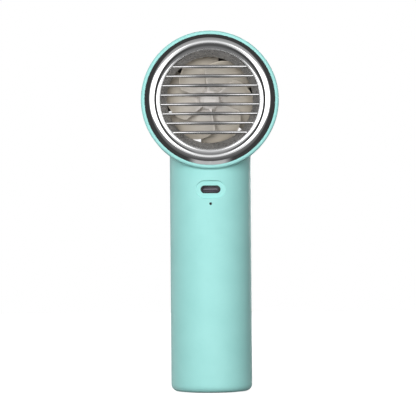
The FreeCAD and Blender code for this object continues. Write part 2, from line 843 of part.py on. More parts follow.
def make_motor_windings():
    rear, front = rotor_span()
    tip = motor_radius - can_wall - 1.3 - 0.3
    coil_from = tip * 0.36 + 0.3
    coil_to = tip - 1.25
    coils = []
    for angle in (90, 210, 330):
        coil = box(coil_from, coil_to, rear - 0.7, front + 0.7, -1.35, 1.35)
        coil = coil.cut(box(coil_from - 1, coil_to + 1, rear, front, -0.7, 0.7))
        coils.append(on_fan_axis(spun(coil, angle)))
    return coils


def make_commutator():
    front = rotor_span()[1]
    ring = tube_y(1.7, shaft_radius, front + 0.8, motor_front() - 1.8)
    cuts = [spun(box(0.9, 2.5, front, motor_front(), -0.12, 0.12), angle) for angle in (30, 150, 270)]
    return on_fan_axis(ring.cut(cuts))


def make_motor_brushes():
    front = rotor_span()[1]
    one = box(1.75, 4.6, front + 1.2, motor_front() - 2.0, -0.5, 0.5)
    return [on_fan_axis(spun(one, angle)) for angle in (0, 180)]


def make_motor_terminals():
    front = motor_front()
    z = -motor_radius * 0.7
    blades = [box(x - 0.8, x + 0.8, front - 1.6, front + 0.5, z - 0.2, z + 0.2) for x in (-2.1, 2.1)]
    return [on_fan_axis(one) for one in blades]


def make_motor_screws():
    one = screw(0.8, 0.4 + pod_wall + can_wall, 1.4, 0.6)
    places = (-motor_screw_place(), motor_screw_place())
    return [aimed(one, x, pod_rear(), head_height, Vector(0, -1, 0)) for x in places]


# ================================================================ port, indicator and main board
def make_usb_shell():
    back = -board_face
    mouth = back - socket_length
    outer = stadium_y(socket_width, socket_height, mouth, back, z=port_z)
    inside = stadium_y(socket_width - 2 * socket_skin, socket_height - 2 * socket_skin, mouth - 1, back + 1, z=port_z)
    return outer.cut(inside)


def make_usb_tongue():
    back = -board_face
    mouth = back - socket_length
    gap = 0.02
    plug = stadium_y(socket_width - 2 * (socket_skin + gap), socket_height - 2 * (socket_skin + gap),
                     back - 1.2, back, z=port_z)
    half = tongue_width / 2
    tongue = box(-half, half, mouth + 0.7, back, port_z - tongue_thickness / 2, port_z + tongue_thickness / 2)
    tongue = tongue.makeFillet(0.2, edges_where(tongue, lambda p: abs(p.y - mouth - 0.7) < 1e-6))
    return plug.fuse(tongue).removeSplitter()


def make_usb_contacts():
    mouth = -board_face - socket_length
    strips = []
    for side in (-1, 1):
        for i in range(12):
            x = (i - 5.5) * contact_pitch
            low = port_z + side * (tongue_thickness / 2 + 0.03)
            strips.append(box(x - 0.13, x + 0.13, mouth + 1.2, -board_face - 1.3, low - 0.03, low + 0.03))
    return strips


def plate_with_corners(x_half, y_from, y_to, z_from, z_to, radius):
    plate = box(-x_half, x_half, y_from, y_to, z_from, z_to)

    def at_corner(p):
        return abs(abs(p.x) - x_half) < 1e-6 and min(abs(p.z - z_from), abs(p.z - z_to)) < 1e-6

    return plate.makeFillet(radius, edges_where(plate, at_corner))


def make_main_board():
    rear = -board_face
    board = plate_with_corners(board_half_width, rear, rear + board_thickness,
                               port_z - board_below_port, port_z + board_above_port, 1.5)
    return board.cut([cylinder_y(board_screw_radius + 0.1, rear - 1, rear + 2, x, z) for x, z in board_posts()])


def make_board_parts():
    """Charging chip, motor driver, choke and small capacitors on the board's rear side."""
    rear = -board_face
    low = port_z - board_below_port
    chips = [
        box(-5.6, -1.6, rear - 0.9, rear, low + 3.6, low + 7.6),
        box(1.2, 4.2, rear - 0.85, rear, low + 1.6, low + 4.6),
        box(1.0, 5.0, rear - 2.0, rear, low + 6.2, low + 10.2),
    ]
    chips[2] = chips[2].makeFillet(0.6, edges_where(chips[2], lambda p: abs(p.y - rear + 2.0) < 1e-6))
    chips += [box(-5.4 + 1.5 * i, -4.6 + 1.5 * i, rear - 0.55, rear, low + 1.0, low + 2.6) for i in range(4)]
    return chips


def make_board_screws():
    one = screw(board_screw_radius, board_thickness + 3.0, board_screw_head, 0.8)
    return [aimed(one, x, -board_face + board_thickness, z, along_y) for x, z in board_posts()]


def make_indicator_led():
    return box(-0.8, 0.8, -board_face - 0.6, -board_face, light_z - 0.4, light_z + 0.4)


def make_light_pipe():
    """Clear rod from the lamp on the board to just below the surface of the handle."""
    radius = light_radius - 0.07
    tube_end = -(recess_floor - plug_pad_wall) + 0.8
    rod = cylinder_y(radius, -handle_radius + 0.45, -board_face - 0.8, z=light_z)
    collar = cylinder_y(radius + 0.6, tube_end, tube_end + 0.7, z=light_z)
    return rod.fuse(collar).removeSplitter()


# ================================================================ button and switch
def make_power_button():
    """Round cap with a dished face, a flange behind the wall and a stem on the switch."""
    face = seat_face + ring_height + 0.25
    rim = button_radius - 0.45
    cap = turned_y([
        (0, face - 0.45), ((rim * 0.6, face - 0.3), (rim, face)),
        ((button_radius - 0.13, face - 0.13), (button_radius, face - 0.45)),
        (button_radius, flange_back + button_flange), (button_radius + 1.1, flange_back + button_flange),
        (button_radius + 1.1, flange_back), (plunger_radius, flange_back),
        (plunger_radius, plunger_top), (0, plunger_top),
    ])
    return moved(cap, z=button_z)


def make_button_ring():
    bore = button_radius + button_gap
    ring = turned_y([
        (bore, seat_face), (bore, seat_face + ring_height - 0.35),
        ((bore + 0.1, seat_face + ring_height - 0.1), (bore + 0.35, seat_face + ring_height)),
        (bore + ring_width - 0.45, seat_face + ring_height),
        ((bore + ring_width - 0.13, seat_face + ring_height - 0.13),
         (bore + ring_width, seat_face + ring_height - 0.45)),
        (bore + ring_width, seat_face),
    ])
    return moved(ring, z=button_z)


def make_switch_board():
    face = switch_board_face
    board = plate_with_corners(switch_board_width / 2, face - board_thickness, face,
                               button_z - switch_board_height / 2, button_z + switch_board_height / 2, 1.2)
    return board.cut([cylinder_y(board_screw_radius + 0.1, face - 3, face + 1, x, z) for x, z in switch_posts()])


def make_switch_body():
    half = switch_side / 2
    body = box(-half, half, switch_board_face, switch_top, button_z - half, button_z + half)
    well = cylinder_y(plunger_radius + 0.2, switch_top - plunger_rise, switch_top + 1, z=button_z)
    return body.cut(well)


def make_switch_plunger():
    foot = switch_top - plunger_rise + button_travel + 0.1
    return cylinder_y(plunger_radius, foot, plunger_top, z=button_z)


def make_switch_screws():
    one = screw(board_screw_radius, board_thickness + 2.6, board_screw_head, 0.8)
    back = switch_board_face - board_thickness
    return [aimed(one, x, back, z, Vector(0, -1, 0)) for x, z in switch_posts()]


# ================================================================ battery
def make_battery_cell():
    """Round cell with the crimp groove below its top and a raised positive end."""
    groove_z = cell_top - 4.2
    can = cylinder_z(cell_radius, cell_bottom, cell_top - 1.0)
    can_ends = (cell_bottom, cell_top - 1.0)
    can = can.makeFillet(0.7, edges_where(can, lambda p: min(abs(p.z - end) for end in can_ends) < 1e-6))
    groove = Part.makeTorus(cell_radius + 0.25, 0.75, Vector(0, 0, groove_z), along_z)
    tip = cylinder_z(3.2, cell_top - 1.5, cell_top)
    tip = tip.makeFillet(0.4, edges_where(tip, lambda p: abs(p.z - cell_top) < 1e-6))
    return can.cut(groove).fuse(tip)


def make_cell_insulator():
    ring = cylinder_z(cell_radius - 0.5, cell_top - 1.0, cell_top - 0.7)
    return ring.cut(cylinder_z(3.4, cell_top - 2, cell_top + 1))


def make_positive_tab():
    return box(-tab_width / 2, tab_width / 2, -5.0, 3.0, cell_top, cell_top + tab_thickness)


def make_negative_tab():
    """Nickel strip under the cell and up its rear side."""
    narrow = tab_width / 4
    low = cell_bottom - tab_thickness
    side = cell_radius + cradle_gap / 2
    under = box(-tab_width / 2, tab_width / 2, -tab_width, tab_width / 2, low, cell_bottom)
    across = box(-narrow, narrow, -side, -tab_width / 2, low, cell_bottom)
    up = box(-narrow, narrow, -side - tab_thickness, -side, low, cell_top - 8)
    return under.fuse([across, up]).removeSplitter()


def make_battery_cradle():
    """Half tube behind the cell, on three ribs that reach the wall of the handle."""
    bore = cell_radius + cradle_gap
    low = shell_floor + cell_pad
    reach = handle_radius
    behind = box(-reach, reach, -reach, -0.4, low, low + cradle_length)
    hole = cylinder_z(bore, low - 1, low + cradle_length + 1)
    tube = cylinder_z(bore + cradle_wall, low, low + cradle_length)
    ribs = [cylinder_z(handle_radius - wall - fit_gap, z, z + 1.5)
            for z in (low + 2, low + cradle_length / 2, low + cradle_length - 3.5)]
    channel = box(-1.8, 1.8, -bore - 0.5, 0, low - 1, low + cradle_length + 1)
    return tube.fuse(ribs).common(behind).cut([hole, channel]).removeSplitter()


def make_battery_foam():
    """Foam blocks that press the cell into the cradle from the front."""
    blocks = []
    for z in (cell_bottom + 8, cell_bottom + 46):
        block = cylinder_z(handle_radius - wall, z, z + 10).cut(cylinder_z(cell_radius, z - 1, z + 11))
        blocks.append(block.common(box(-4.5, 4.5, 0, handle_radius, z - 1, z + 11)))
    return blocks


def make_cell_pad():
    pad = cylinder_z(cell_radius - 0.2, shell_floor, shell_floor + cell_pad)
    return pad


# ================================================================ wiring
def make_motor_lead(side):
    """From a motor terminal down through the duct wall, then behind the main board."""
    x_motor = side * 1.3
    x_board = side * 2.4
    y_motor = motor_front() + terminal_room / 2
    y_board = -board_face + board_thickness + lead_radius
    start = head_height - motor_radius * 0.7 - 0.2
    turn = head_height - socket_radius - 1.6
    solder = port_z + board_above_port - 2.5
    route = [(x_motor, y_motor, start), (x_motor, y_motor, turn),
             (x_board, y_board, turn - 5.0), (x_board, y_board, solder)]
    return lead(route, lead_radius, 2.2)


def make_battery_lead_positive():
    y_board = -board_face + board_thickness + lead_radius
    top = cell_top + tab_thickness
    solder = port_z - board_below_port + 4.0
    route = [(2.4, -4.2, top), (2.4, -4.2, top + 2.4), (3.6, y_board, top + 3.4), (3.6, y_board, solder)]
    return lead(route, lead_radius, 0.9)


def make_battery_lead_negative():
    y_board = -board_face + board_thickness + lead_radius
    y_tab = -(cell_radius + cradle_gap / 2 + tab_thickness + lead_radius)
    solder = port_z - board_below_port + 4.0
    route = [(-0.6, y_tab, cell_top - 12), (-0.6, y_tab, cell_top - 2),
             (-3.6, y_board, cell_top + 2.6), (-3.6, y_board, solder)]
    return lead(route, lead_radius, 2.2)


def make_switch_leads():
    """Two leads from the switch board straight back to the main board, with a gentle dip."""
    y_switch = switch_board_face - board_thickness
    y_board = -board_face + board_thickness
    high = button_z + switch_side / 2 + 4.4
    low = high - 2.5
    third = (y_switch - y_board) / 3
    wires = []
    for x in (-1.2, 1.2):
        route = [(x, y_switch, high), (x, y_switch - third, high), (x, y_board + third, low), (x, y_board, low)]
        wires.append(lead(route, lead_radius * 0.8, 6.0))
    return wires


# ================================================================ assembly
def build():
    outer = outer_body()
    hollow = cavity()
    rear_bezel = make_bezel()
    rear_ring = make_grille_ring()
    rear_bars = make_bars()
    inlet_funnel = make_funnel()
    seat_y = motor_rear() - pod_wall
    front_bush_y = motor_front() - 1.6
    return {
        "rear_shell": make_rear_shell(outer, hollow),
        "front_shell": make_front_shell(outer, hollow),
        "shell_screws": make_shell_screws(),
        "base_pad": make_base_pad(),
        "rear_bezel": rear_bezel,
        "rear_grille_ring": rear_ring,
        "rear_grille_bars": rear_bars,
        "inlet_funnel": inlet_funnel,
        "front_bezel": to_front(rear_bezel),
        "front_grille_ring": to_front(rear_ring),
        "front_grille_bars": [to_front(bar) for bar in rear_bars],
        "outlet_funnel": to_front(inlet_funnel),
        "air_duct": make_duct(),
        "guide_vanes": make_vanes(),
        "motor_pod": make_pod(),
        "pod_cap": make_pod_cap(),
        "impeller": make_impeller(),
        "motor_can": make_motor_can(),
        "motor_endcap": make_motor_endcap(),
        "motor_rear_bush": make_bush(seat_y, seat_y + 2.4),
        "motor_front_bush": make_bush(front_bush_y, front_bush_y + 1.6),
        "motor_shaft": make_motor_shaft(),
        "motor_magnets": make_motor_magnets(),
        "motor_armature": make_motor_armature(),
        "motor_windings": make_motor_windings(),
        "motor_commutator": make_commutator(),
        "motor_brushes": make_motor_brushes(),
        "motor_terminals": make_motor_terminals(),
        "motor_screws": make_motor_screws(),
        "usb_shell": make_usb_shell(),
        "usb_tongue": make_usb_tongue(),
        "usb_contacts": make_usb_contacts(),
        "main_board": make_main_board(),
        "board_parts": make_board_parts(),
        "board_screws": make_board_screws(),
        "indicator_led": make_indicator_led(),
        "light_pipe": make_light_pipe(),
        "power_button": make_power_button(),
        "button_ring": make_button_ring(),
        "switch_board": make_switch_board(),
        "switch_body": make_switch_body(),
        "switch_plunger": make_switch_plunger(),
        "switch_screws": make_switch_screws(),
        "battery_cell": make_battery_cell(),
        "cell_insulator": make_cell_insulator(),
        "positive_tab": make_positive_tab(),
        "negative_tab": make_negative_tab(),
        "battery_cradle": make_battery_cradle(),
        "battery_foam": make_battery_foam(),
        "cell_pad": make_cell_pad(),
        "motor_lead_red": make_motor_lead(1),
        "motor_lead_black": make_motor_lead(-1),
        "battery_lead_red": make_battery_lead_positive(),
        "battery_lead_black": make_battery_lead_negative(),
        "switch_leads": make_switch_leads(),
    }


def main():
    os.makedirs("parts", exist_ok=True)
    for name, made in build().items():
        shape = Part.makeCompound(made) if isinstance(made, list) else made
        solids = shape.Solids
        if not solids or not shape.isValid():
            print("check", name, len(solids), shape.isValid())
        whole = Part.makeCompound(solids) if len(solids) > 1 else solids[0]
        whole.exportStep(f"parts/{name}.step")
        print(f"{name:20s} solids {len(solids):2d}  volume {whole.Volume:9.1f} mm3")


main()
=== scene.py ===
import bmesh
import bpy
import math
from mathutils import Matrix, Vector


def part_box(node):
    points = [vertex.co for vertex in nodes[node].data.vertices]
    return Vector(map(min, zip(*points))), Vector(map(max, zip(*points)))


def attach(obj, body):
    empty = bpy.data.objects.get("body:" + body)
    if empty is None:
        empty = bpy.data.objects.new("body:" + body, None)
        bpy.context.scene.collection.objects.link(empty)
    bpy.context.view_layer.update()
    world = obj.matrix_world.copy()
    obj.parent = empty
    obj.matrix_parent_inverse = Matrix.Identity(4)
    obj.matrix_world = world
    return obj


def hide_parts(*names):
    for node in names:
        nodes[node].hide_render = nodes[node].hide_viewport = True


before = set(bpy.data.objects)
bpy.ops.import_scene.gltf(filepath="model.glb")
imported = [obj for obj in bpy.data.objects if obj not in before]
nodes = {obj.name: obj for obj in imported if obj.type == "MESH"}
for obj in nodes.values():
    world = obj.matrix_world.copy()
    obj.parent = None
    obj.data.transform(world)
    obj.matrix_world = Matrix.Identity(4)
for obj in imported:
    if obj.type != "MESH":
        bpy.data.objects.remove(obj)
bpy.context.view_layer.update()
scene = bpy.context.scene
mm = 0.001
micron = 0.000001

faceDepth = -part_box("rear_shell")[0].y / mm  # drum face from the middle, mm
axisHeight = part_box("rear_bezel")[0].z / 2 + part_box("rear_bezel")[1].z / 2


# ---- small node helpers
def addNode(tree, kind, settings=None, inputs=None):
    made = tree.nodes.new("ShaderNode" + kind)
    for key, value in (settings or {}).items():
        setattr(made, key, value)
    for key, value in (inputs or {}).items():
        if isinstance(value, bpy.types.NodeSocket):
            tree.links.new(value, made.inputs[key])
        else:
            made.inputs[key].default_value = value
    return made


def calc(tree, operation, first, second=0.0):
    made = addNode(tree, "Math", {"operation": operation}, {0: first, 1: second})
    return made.outputs[0]


def remap(tree, value, low, high, toLow=0.0, toHigh=1.0, smooth=True):
    settings = {"interpolation_type": "SMOOTHSTEP" if smooth else "LINEAR"}
    inputs = {"Value": value, "From Min": low, "From Max": high, "To Min": toLow, "To Max": toHigh}
    return addNode(tree, "MapRange", settings, inputs).outputs[0]


def ramp(tree, share, stops):
    made = addNode(tree, "ValToRGB", inputs={"Fac": share})
    marks = made.color_ramp.elements
    while len(marks) < len(stops):
        marks.new(0.5)
    for mark, (place, colour) in zip(marks, stops):
        mark.position = place
        mark.color = (*colour, 1)
    return made.outputs["Color"]


# ---- the studio: white behind, low soft boxes left and right of the camera, a grey glow ahead and
# dark sides; angles in degrees, each four fade in from the first to the second and out after the third
studio = {
    "boxPower": 1.8,
    "boxSide": (2.0, 6.0, 26.0, 30.0),  # off the camera axis
    "boxHeight": (-7.0, -3.5, 11.0, 15.0),
    "sideTone": 0.05,
    "sideFade": (28.0, 44.0),
    "frontTones": [(-90, 0.20), (-65, 0.09), (-35, 0.10), (-15, 0.18), (-7, 0.22), (-2, 0.62),
                   (3, 0.88), (12, 0.88), (18, 0.55), (28, 0.40), (48, 0.32), (65, 0.24), (78, 0.16),
                   (90, 0.05)],
    "underTone": 0.48,
    "underHalf": (0.20, 0.42),  # sideways reach of the glow straight below
    "underHeight": (-78.0, -64.0),
    "fillSide": (100.0, 118.0, 150.0, 165.0),
    "fillHeight": (-50.0, -25.0, 30.0, 55.0),
    "fillLeft": 1.1,
    "fillRight": 0.5,
    "fillBlend": 0.2,
}


def band(tree, value, fadeIn, full, fadeFrom, fadeTo):
    rise = remap(tree, value, fadeIn, full)
    fall = remap(tree, value, fadeFrom, fadeTo, 1.0, 0.0)
    return calc(tree, "MULTIPLY", rise, fall)


def makeStudio():
    world = bpy.data.worlds.new("studio")
    scene.world = world
    world.use_nodes = True
    tree = world.node_tree
    tree.nodes.clear()
    direction = addNode(tree, "TexCoord").outputs["Generated"]
    x, y, z = addNode(tree, "SeparateXYZ", inputs={0: direction}).outputs
    side = calc(tree, "ARCTAN2", x, calc(tree, "MULTIPLY", y, -1.0))
    side = calc(tree, "MULTIPLY", calc(tree, "ABSOLUTE", side), 180 / math.pi)
    height = calc(tree, "MULTIPLY", calc(tree, "ARCSINE", z), 180 / math.pi)

    boxes = calc(tree, "MULTIPLY", band(tree, side, *studio["boxSide"]),
                 band(tree, height, *studio["boxHeight"]))
    boxes = calc(tree, "MULTIPLY", boxes, studio["boxPower"])
    fill = calc(tree, "MULTIPLY", band(tree, side, *studio["fillSide"]),
                band(tree, height, *studio["fillHeight"]))
    blend = studio["fillBlend"]
    fill = calc(tree, "MULTIPLY", fill, remap(tree, x, -blend, blend, studio["fillLeft"], studio["fillRight"]))

    share = remap(tree, height, -90.0, 90.0, smooth=False)
    stops = [((angle + 90) / 180, (tone, tone, tone)) for angle, tone in studio["frontTones"]]
    ahead = remap(tree, side, *studio["sideFade"], 1.0, 0.0)
    tones = addNode(tree, "Mix", {"data_type": "RGBA"}, {0: ahead, 7: ramp(tree, share, stops)})
    tones.inputs[6].default_value = (*[studio["sideTone"]] * 3, 1)

    middle = remap(tree, calc(tree, "ABSOLUTE", x), *studio["underHalf"], 1.0, 0.0)
    under = calc(tree, "MULTIPLY", middle, remap(tree, height, *studio["underHeight"], 1.0, 0.0))
    under = calc(tree, "MULTIPLY", under, studio["underTone"])

    extra = calc(tree, "ADD", calc(tree, "ADD", boxes, fill), under)
    total = addNode(tree, "VectorMath", {"operation": "ADD"}, {0: tones.outputs[2], 1: extra})
    lit = addNode(tree, "Background", inputs={"Color": total.outputs[0]})
    seen = addNode(tree, "Background", inputs={"Color": (1, 1, 1, 1)})
    toCamera = addNode(tree, "LightPath").outputs["Is Camera Ray"]
    mixed = addNode(tree, "MixShader", inputs={0: toCamera, 1: lit.outputs[0], 2: seen.outputs[0]})
    addNode(tree, "OutputWorld", inputs={0: mixed.outputs[0]})
    scene.view_settings.view_transform = "Standard"


# ---- two soft lights, each a place and a power; only the back one shows in shiny things
softLights = {
    "size": 1.3, "aimHeight": 0.10,
    "key": ((-0.30, -2.0, 0.45), 41.0),
    "back": ((0.40, 2.0, 0.60), 26.0),
}


def makeSoftLight(name):
    place, power = softLights[name]
    data = bpy.data.lights.new(name + "Light", "AREA")
    data.size = softLights["size"]
    data.energy = power
    light = bpy.data.objects.new(name + "Light", data)
    scene.collection.objects.link(light)
    light.location = place
    aim = Vector((0, 0, softLights["aimHeight"])) - light.location
    light.rotation_euler = aim.to_track_quat("-Z", "Y").to_euler()
    light.visible_glossy = name == "back"
    light.visible_camera = False


cameraSizes = {"distance": 1.6, "widthSeen": 0.19726, "right": -0.00123, "height": 0.08695, "roll": 0.42}


def makeCamera():
    data = bpy.data.cameras.new("camera")
    camera = bpy.data.objects.new("camera", data)
    scene.collection.objects.link(camera)
    distance = cameraSizes["distance"]
    data.sensor_width = 36
    data.lens = data.sensor_width * distance / cameraSizes["widthSeen"]
    data.clip_end = 30
    camera.location = (cameraSizes["right"], -distance, cameraSizes["height"])
    camera.rotation_euler = (math.radians(90), math.radians(cameraSizes["roll"]), 0)
    scene.camera = camera


makeStudio()
makeSoftLight("key")
makeSoftLight("back")
makeCamera()
print("studio and camera ready")


# ---- finishes; sizes in millimetres, heights of grain in microns, colours linear
finishes = {
    "mint_plastic": {
        "tones": [(0.335, 0.700, 0.668), (0.362, 0.735, 0.702)], "toneSize": 14, "rough": (0.44, 0.54),
        "roughSize": 5, "grain": (0.20, 1.6), "swell": (3.0, 5), "specks": (0.9, 0.03),
        "sockets": {"Specular IOR Level": 0.35}},
    "chrome_trim": {
        "tones": [(0.83, 0.835, 0.845), (0.88, 0.885, 0.89)], "toneSize": 9, "metal": 1,
        "rough": (0.035, 0.10), "roughSize": 6, "grain": (0.5, 0.15), "turned": (0.16, 0.12)},
    "chrome_inner": {
        "tones": [(0.66, 0.665, 0.67), (0.74, 0.745, 0.75)], "toneSize": 7, "metal": 1,
        "rough": (0.12, 0.20), "roughSize": 4, "grain": (0.3, 0.4), "turned": (0.22, 0.3)},
    "funnel_grey": {
        "tones": [(0.30, 0.305, 0.31), (0.37, 0.375, 0.38)], "toneSize": 6, "metal": 0.8,
        "rough": (0.22, 0.32), "roughSize": 3, "grain": (0.2, 1.0), "turned": (0.25, 0.5)},
    "beige_blades": {
        "tones": [(0.77, 0.730, 0.700), (0.82, 0.785, 0.755)], "toneSize": 8, "rough": (0.30, 0.42),
        "roughSize": 3, "grain": (0.15, 3), "swell": (2.2, 8),
        # painted shade: blades darker towards their tips and lightest at the hub, as light falls on them
        "paintedShadeByRadius": [(0, (1, 1, 1)), (4.5, (1, 1, 1)), (9, (0.84, 0.83, 0.79)), (14, (0.71, 0.69, 0.63)),
                 (18, (0.61, 0.58, 0.51)), (22, (0.48, 0.45, 0.39))]},
    "bar_chrome": {
        "tones": [(0.80, 0.805, 0.815), (0.86, 0.865, 0.87)], "toneSize": 4, "metal": 1,
        "rough": (0.05, 0.12), "roughSize": 3, "grain": (0.5, 0.15), "brushed": ((4.0, 0.3, 0.3), 0.1),
        # painted shade: bars darker towards their middles, full brightness near the ring
        "paintedShadeByRadius": [(0, (0.40, 0.40, 0.40)), (8, (0.48, 0.48, 0.48)), (16, (0.78, 0.78, 0.78)),
                 (23, (1, 1, 1))]},
    "grey_moulding": {
        "tones": [(0.050, 0.046, 0.045), (0.075, 0.070, 0.068)], "toneSize": 6, "rough": (0.42, 0.58),
        "roughSize": 2, "grain": (0.18, 6)},
    "port_steel": {
        "tones": [(0.045, 0.043, 0.045), (0.070, 0.068, 0.070)], "toneSize": 2, "metal": 1,
        "rough": (0.24, 0.38), "roughSize": 0.6, "grain": (0.08, 1), "brushed": ((0.05, 2.0, 0.05), 1.2)},
    "port_black": {
        "tones": [(0.11, 0.10, 0.13), (0.15, 0.14, 0.17)], "toneSize": 1.5, "rough": (0.35, 0.50),
        "roughSize": 0.8, "grain": (0.07, 3)},
    "gold_contacts": {
        "tones": [(0.26, 0.22, 0.19), (0.34, 0.29, 0.25)], "toneSize": 0.6, "metal": 1,
        "rough": (0.26, 0.40), "roughSize": 0.3, "grain": (0.04, 1)},
    "circuit_board": {
        "tones": [(0.012, 0.085, 0.045), (0.022, 0.125, 0.065)], "toneSize": 1.6, "rough": (0.30, 0.45),
        "roughSize": 2, "grain": (0.10, 2), "weave": (0.42, 9), "sockets": {"Coat Weight": 0.4}},
    "black_chips": {
        "tones": [(0.012, 0.012, 0.013), (0.026, 0.026, 0.028)], "toneSize": 0.8, "rough": (0.45, 0.60),
        "roughSize": 0.5, "grain": (0.05, 4)},
    "zinc_screws": {
        "tones": [(0.50, 0.49, 0.46), (0.66, 0.65, 0.60)], "toneSize": 0.9, "metal": 1,
        "rough": (0.22, 0.38), "roughSize": 0.4, "grain": (0.06, 2)},
    "lamp": {
        "tones": [(0.80, 0.79, 0.72), (0.88, 0.87, 0.80)], "toneSize": 0.4, "rough": (0.20, 0.30),
        "roughSize": 0.3, "grain": (0.05, 1)},
    "light_pipe": {
        "tones": [(0.004, 0.004, 0.005), (0.010, 0.010, 0.011)], "toneSize": 0.7, "rough": (0.20, 0.30),
        "roughSize": 0.5, "grain": (0.10, 1)},
    "rubber_foot": {
        "tones": [(0.055, 0.058, 0.058), (0.085, 0.088, 0.088)], "toneSize": 4, "rough": (0.65, 0.82),
        "roughSize": 1.5, "grain": (0.12, 9), "specks": (0.5, 0.25)},
    "motor_steel": {
        "tones": [(0.46, 0.46, 0.46), (0.58, 0.58, 0.57)], "toneSize": 3, "metal": 1, "rough": (0.24, 0.40),
        "roughSize": 1.0, "grain": (0.12, 2), "brushed": ((0.06, 3.0, 0.06), 2)},
    "shaft_steel": {
        "tones": [(0.60, 0.60, 0.60), (0.70, 0.70, 0.69)], "toneSize": 1, "metal": 1, "rough": (0.08, 0.16),
        "roughSize": 0.5, "grain": (0.05, 0.5), "turned": (0.08, 0.3)},
    "bush_bronze": {
        "tones": [(0.42, 0.25, 0.10), (0.56, 0.36, 0.16)], "toneSize": 0.8, "metal": 1,
        "rough": (0.32, 0.48), "roughSize": 0.3, "grain": (0.07, 5)},
    "magnet": {
        "tones": [(0.045, 0.043, 0.042), (0.075, 0.072, 0.070)], "toneSize": 1.2, "metal": 0.3,
        "rough": (0.50, 0.66), "roughSize": 0.5, "grain": (0.06, 6)},
    "core_steel": {
        "tones": [(0.26, 0.25, 0.24), (0.38, 0.37, 0.36)], "toneSize": 1, "metal": 1, "rough": (0.34, 0.50),
        "roughSize": 0.5, "grain": (0.06, 3), "layers": (0.35, 14)},
    "copper": {
        "tones": [(0.62, 0.22, 0.09), (0.76, 0.31, 0.14)], "toneSize": 0.5, "metal": 1,
        "rough": (0.20, 0.34), "roughSize": 0.4, "grain": (0.05, 1), "layers": (0.20, 22)},
    "carbon": {
        "tones": [(0.018, 0.018, 0.019), (0.040, 0.040, 0.042)], "toneSize": 0.5, "metal": 0.2,
        "rough": (0.45, 0.62), "roughSize": 0.3, "grain": (0.05, 5)},
    "cell_wrap": {
        "tones": [(0.050, 0.155, 0.330), (0.065, 0.185, 0.380)], "toneSize": 12, "rough": (0.24, 0.36),
        "roughSize": 6, "grain": (0.8, 4), "swell": (5.0, 10)},
    "insulator": {
        "tones": [(0.62, 0.60, 0.52), (0.72, 0.70, 0.62)], "toneSize": 1.5, "rough": (0.70, 0.85),
        "roughSize": 0.8, "grain": (0.10, 8)},
    "nickel": {
        "tones": [(0.58, 0.56, 0.52), (0.70, 0.68, 0.64)], "toneSize": 1.5, "metal": 1,
        "rough": (0.18, 0.32), "roughSize": 0.6, "grain": (0.06, 1), "brushed": ((0.05, 0.05, 2.0), 1.2)},
    "foam": {
        "tones": [(0.060, 0.060, 0.062), (0.110, 0.110, 0.112)], "toneSize": 0.5, "rough": (0.85, 0.95),
        "roughSize": 0.5, "grain": (0.25, 40), "cells": (0.35, 90)},
    "red_wire": {
        "tones": [(0.42, 0.020, 0.016), (0.54, 0.034, 0.026)], "toneSize": 2, "rough": (0.34, 0.46),
        "roughSize": 0.8, "grain": (0.15, 4)},
    "black_wire": {
        "tones": [(0.014, 0.014, 0.015), (0.028, 0.028, 0.030)], "toneSize": 2, "rough": (0.34, 0.46),
        "roughSize": 0.8, "grain": (0.15, 4)},
    "white_switch": {
        "tones": [(0.66, 0.65, 0.62), (0.74, 0.73, 0.70)], "toneSize": 1.5, "rough": (0.38, 0.50),
        "roughSize": 0.6, "grain": (0.10, 3)},
}


def noiseAt(tree, coords, size, detail=3.0, rough=0.55):
    inputs = {"Vector": coords, "Scale": 1 / (size * mm), "Detail": detail, "Roughness": rough}
    return addNode(tree, "TexNoise", inputs=inputs).outputs[0]


def stretched(tree, coords, sizes):
    scale = tuple(1 / (size * mm) for size in sizes)
    inputs = {"Vector": coords, "Scale": scale}
    return addNode(tree, "Mapping", inputs=inputs).outputs[0]


def aroundFan(tree, coords):
    # distance from the fan's axis, and place along it
    x, y, z = addNode(tree, "SeparateXYZ", inputs={0: coords}).outputs
    flat = addNode(tree, "CombineXYZ", inputs={0: x, 2: calc(tree, "SUBTRACT", z, axisHeight)})
    return addNode(tree, "VectorMath", {"operation": "LENGTH"}, {0: flat.outputs[0]}).outputs["Value"], y


multiplied = {"data_type": "RGBA", "blend_type": "MULTIPLY"}
wavePitch = 0.314  # wave texture scale for bands one unit apart


